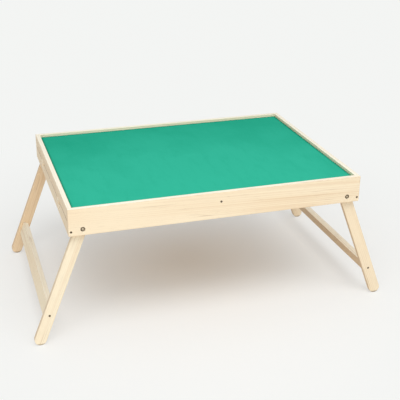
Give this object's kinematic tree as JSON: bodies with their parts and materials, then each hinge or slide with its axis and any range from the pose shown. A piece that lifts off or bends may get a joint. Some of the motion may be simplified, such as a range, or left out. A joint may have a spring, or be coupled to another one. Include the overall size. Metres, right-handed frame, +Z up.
{
  "type": "jigsaw puzzle table",
  "caption": "Low wooden puzzle table with a felt-covered recessed top, shallow drawers that slide out of both ends, and leg frames that fold up inside the box.",
  "frame": {"origin": "on the floor under the middle of the table", "axes": "+X along the table towards its right end, +Y across it towards the back, +Z up"},
  "size_m": [0.96, 0.57, 0.365],
  "materials": {
    "pine": "bare sanded pale pine",
    "plywood": "thin pale plywood",
    "green_felt": "smooth teal green felt",
    "pivot_steel": "zinc plated",
    "screw_steel": "dark phosphated"
  },
  "bodies": {
    "table_box": {"back_rail": "pine", "centre_divider": "pine", "corner_screws": "screw_steel", "divider_screws": "screw_steel", "drawer_divider": "pine", "felt_top": "green_felt", "front_rail": "pine", "left_lower_end_rail": "pine", "left_upper_end_rail": "pine", "lock_nuts": "pivot_steel", "nut_washers": "pivot_steel", "pivot_bolts": "pivot_steel", "rail_washers": "pivot_steel", "right_lower_end_rail": "pine", "right_upper_end_rail": "pine", "top_panel": "plywood"},
    "left_back_drawer": {"left_back_drawer_back": "pine", "left_back_drawer_bottom": "plywood", "left_back_drawer_front": "pine", "left_back_drawer_inner_side": "pine", "left_back_drawer_outer_side": "pine"},
    "left_leg_frame": {"left_back_leg": "pine", "left_front_leg": "pine", "left_stretcher": "pine", "left_stretcher_screws": "screw_steel"},
    "left_front_drawer": {"left_front_drawer_back": "pine", "left_front_drawer_bottom": "plywood", "left_front_drawer_front": "pine", "left_front_drawer_inner_side": "pine", "left_front_drawer_outer_side": "pine"},
    "right_back_drawer": {"right_back_drawer_back": "pine", "right_back_drawer_bottom": "plywood", "right_back_drawer_front": "pine", "right_back_drawer_inner_side": "pine", "right_back_drawer_outer_side": "pine"},
    "right_leg_frame": {"right_back_leg": "pine", "right_front_leg": "pine", "right_stretcher": "pine", "right_stretcher_screws": "screw_steel"},
    "right_front_drawer": {"right_front_drawer_back": "pine", "right_front_drawer_bottom": "plywood", "right_front_drawer_front": "pine", "right_front_drawer_inner_side": "pine", "right_front_drawer_outer_side": "pine"}
  },
  "joints": [
    {"name": "left_leg_fold", "type": "hinge", "parent": "table_box", "child": "left_leg_frame", "pos_m": [-0.3479, 0, 0.311], "axis": [0, -1, 0], "range_deg": [0, 111.5]},
    {"name": "right_leg_fold", "type": "hinge", "parent": "table_box", "child": "right_leg_frame", "pos_m": [0.3479, 0, 0.311], "axis": [0, 1, 0], "range_deg": [0, 111.5]},
    {"name": "left_front_drawer_slide", "type": "slide", "parent": "table_box", "child": "left_front_drawer", "axis": [-1, 0, 0], "range_m": [0, 0.3]},
    {"name": "left_back_drawer_slide", "type": "slide", "parent": "table_box", "child": "left_back_drawer", "axis": [-1, 0, 0], "range_m": [0, 0.3]},
    {"name": "right_front_drawer_slide", "type": "slide", "parent": "table_box", "child": "right_front_drawer", "axis": [1, 0, 0], "range_m": [0, 0.3]},
    {"name": "right_back_drawer_slide", "type": "slide", "parent": "table_box", "child": "right_back_drawer", "axis": [1, 0, 0], "range_m": [0, 0.3]}
  ]
}
